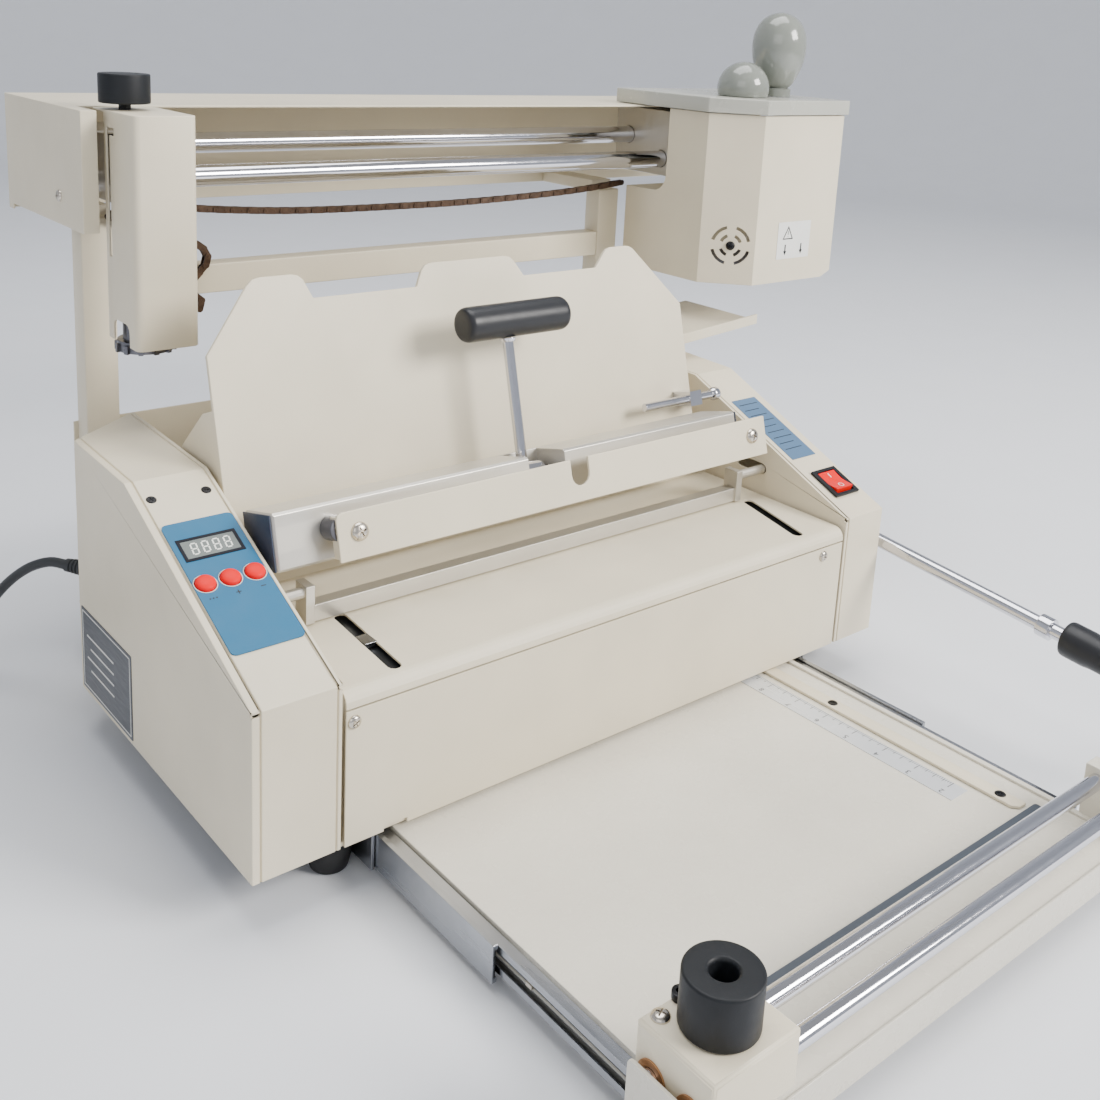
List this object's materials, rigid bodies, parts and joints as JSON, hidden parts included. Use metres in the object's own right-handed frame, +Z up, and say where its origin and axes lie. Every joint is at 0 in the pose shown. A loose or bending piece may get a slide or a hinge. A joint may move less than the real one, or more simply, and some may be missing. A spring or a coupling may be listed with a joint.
{
  "type": "desktop glue book binder",
  "caption": "Desktop hot-melt book binder with a leaning book clamp, a milling head and a glue tank on overhead rods, and a pull-out creasing tray.",
  "frame": {"origin": "on the surface it stands on, under the middle of the machine's own length and depth, without the mains cord", "axes": "+X to the operator's right, +Y to the back, +Z up"},
  "size_m": [0.9026, 0.7388, 0.514],
  "materials": {
    "cream_paint": "warm light grey powder coat, satin",
    "tray_sheet": "light grey-beige sheet, smooth satin",
    "grey_lid": "cool light grey, gloss",
    "grey_gloss": "light grey, gloss",
    "chrome": "polished",
    "machined_aluminium": "milled, satin",
    "machined_steel": "turned steel",
    "zinc_steel": "zinc plated",
    "chain_steel": "blackened, oiled",
    "black_plastic": "matte black",
    "black_grip": "satin black",
    "black_rubber": "matte",
    "cord_rubber": "matte black",
    "blue_panel": "printed film, satin",
    "red_button": "satin red",
    "red_rocker": "clear red, gloss"
  },
  "bodies": {
    "frame": {"base_plate": "cream_paint", "left_housing": "cream_paint", "right_housing": "cream_paint", "rear_panel": "cream_paint", "front_panel": "cream_paint", "deck_cover": "cream_paint", "foot_front_left": "black_rubber", "foot_front_right": "black_rubber", "foot_rear_left": "black_rubber", "foot_rear_right": "black_rubber", "left_post": "cream_paint", "right_post": "cream_paint", "cross_beam": "cream_paint", "hood": "cream_paint", "lower_guide_rod": "chrome", "upper_guide_rod": "chrome", "roller_chain": "chain_steel", "control_overlay": "blue_panel", "switch_bezel": "black_plastic", "left_outer_slide": "zinc_steel", "right_outer_slide": "zinc_steel", "drip_tray": "cream_paint", "cord_gland": "cord_rubber", "mains_cord": "cord_rubber", "cord_coil": "cord_rubber", "mains_plug": "cord_rubber"},
    "left_button": {"button_left": "red_button"},
    "middle_button": {"button_middle": "red_button"},
    "right_button": {"button_right": "red_button"},
    "rocker": {"power_rocker": "red_rocker"},
    "milling_head": {"milling_carriage": "machined_aluminium", "milling_cover": "cream_paint", "milling_motor": "machined_steel"},
    "depth_knob": {"milling_knob": "black_plastic"},
    "cutter": {"milling_cutter": "machined_steel"},
    "tank": {"tank_carriage": "machined_aluminium", "tank_housing": "cream_paint", "glue_pot": "machined_aluminium"},
    "lid": {"tank_lid": "grey_lid", "lid_knob": "grey_gloss", "push_handle": "grey_gloss"},
    "roller": {"glue_roller": "machined_steel"},
    "press_lever": {"press_lever_arm": "chrome", "press_lever_grip": "black_grip"},
    "nip": {"front_nip_bar": "machined_aluminium"},
    "clamp": {"clamp_back_plate": "cream_paint", "clamp_front_plate": "cream_paint", "side_stop": "chrome"},
    "jaw": {"clamp_front_jaw": "machined_aluminium"},
    "clamp_lever": {"clamp_lever_stem": "chrome", "clamp_lever_grip": "black_grip"},
    "tray": {"creasing_tray": "tray_sheet", "tray_fence": "cream_paint", "crease_rod_front": "chrome", "crease_rod_rear": "chrome"},
    "left_runner": {"left_middle_slide": "zinc_steel"},
    "right_runner": {"right_middle_slide": "zinc_steel"},
    "crease_head": {"crease_block": "cream_paint"},
    "pressure_knob": {"crease_knob": "black_plastic"},
    "wheel": {"crease_wheel": "machined_steel"}
  },
  "joints": [
    {"name": "left_button_press", "type": "slide", "parent": "frame", "child": "left_button", "axis": [0, 0.3926, -0.9197], "range_m": [0, 0.0015], "stiffness_N_per_m": 150},
    {"name": "middle_button_press", "type": "slide", "parent": "frame", "child": "middle_button", "axis": [0, 0.3926, -0.9197], "range_m": [0, 0.0015], "stiffness_N_per_m": 150},
    {"name": "right_button_press", "type": "slide", "parent": "frame", "child": "right_button", "axis": [0, 0.3926, -0.9197], "range_m": [0, 0.0015], "stiffness_N_per_m": 150},
    {"name": "rocker_tilt", "type": "hinge", "parent": "frame", "child": "rocker", "pos_m": [0.1537, -0.05315, 0.14649], "axis": [1, 0, 0], "range_deg": [0, 12]},
    {"name": "milling_slide", "type": "slide", "parent": "frame", "child": "milling_head", "axis": [1, 0, 0], "range_m": [0, 0.42]},
    {"name": "depth_knob_turn", "type": "hinge", "parent": "milling_head", "child": "depth_knob", "pos_m": [-0.31, 0.2115, 0.43], "axis": [0, 0, 1], "range_deg": [0, 330]},
    {"name": "cutter_spin", "type": "hinge", "parent": "milling_head", "child": "cutter", "pos_m": [-0.304, 0.1995, 0.26], "axis": [0, 0, 1], "continuous": true},
    {"name": "tank_slide", "type": "slide", "parent": "frame", "child": "tank", "axis": [1, 0, 0], "range_m": [-0.42, 0]},
    {"name": "lid_lift", "type": "slide", "parent": "tank", "child": "lid", "axis": [0, 0, 1], "range_m": [0, 0.06]},
    {"name": "roller_spin", "type": "hinge", "parent": "tank", "child": "roller", "pos_m": [0.289, 0.1915, 0.276], "axis": [0, 1, 0], "continuous": true},
    {"name": "press_lever_lift", "type": "hinge", "parent": "frame", "child": "press_lever", "pos_m": [0.183, 0.0325, 0.113], "axis": [-1, 0, 0], "range_deg": [0, 60]},
    {"name": "nip_slide", "type": "slide", "parent": "frame", "child": "nip", "axis": [0, 1, 0], "range_m": [0, 0.022]},
    {"name": "clamp_turn", "type": "hinge", "parent": "frame", "child": "clamp", "pos_m": [-0.096, 0.1235, 0.196], "axis": [-1, 0, 0], "range_deg": [0, 22]},
    {"name": "jaw_slide", "type": "slide", "parent": "clamp", "child": "jaw", "axis": [0, -0.9659, 0.2588], "range_m": [0, 0.006]},
    {"name": "clamp_lever_fold", "type": "hinge", "parent": "jaw", "child": "clamp_lever", "pos_m": [-0.096, 0.02413, 0.18039], "axis": [1, 0, 0], "range_deg": [0, 60]},
    {"name": "tray_slide", "type": "slide", "parent": "frame", "child": "tray", "axis": [0, 1, 0], "range_m": [0, 0.215]},
    {"name": "left_runner_slide", "type": "slide", "parent": "frame", "child": "left_runner", "axis": [0, 1, 0], "range_m": [0, 0.1075]},
    {"name": "right_runner_slide", "type": "slide", "parent": "frame", "child": "right_runner", "axis": [0, 1, 0], "range_m": [0, 0.1075]},
    {"name": "crease_slide", "type": "slide", "parent": "tray", "child": "crease_head", "axis": [1, 0, 0], "range_m": [0, 0.32]},
    {"name": "pressure_knob_turn", "type": "hinge", "parent": "crease_head", "child": "pressure_knob", "pos_m": [-0.272, -0.3391, 0.091], "axis": [0, 0, 1], "range_deg": [0, 330]},
    {"name": "wheel_spin", "type": "hinge", "parent": "crease_head", "child": "wheel", "pos_m": [-0.272, -0.3391, 0.0406], "axis": [0, 1, 0], "continuous": true}
  ],
  "couplings": [
    {"joint": "roller_spin", "follows": "tank_slide", "rad_per_m": 58.82},
    {"joint": "nip_slide", "follows": "press_lever_lift", "m_per_rad": 0.021},
    {"joint": "jaw_slide", "follows": "clamp_lever_fold", "m_per_rad": 0.0057},
    {"joint": "left_runner_slide", "follows": "tray_slide", "ratio": 0.5},
    {"joint": "right_runner_slide", "follows": "tray_slide", "ratio": 0.5},
    {"joint": "wheel_spin", "follows": "crease_slide", "rad_per_m": 98.04}
  ]
}
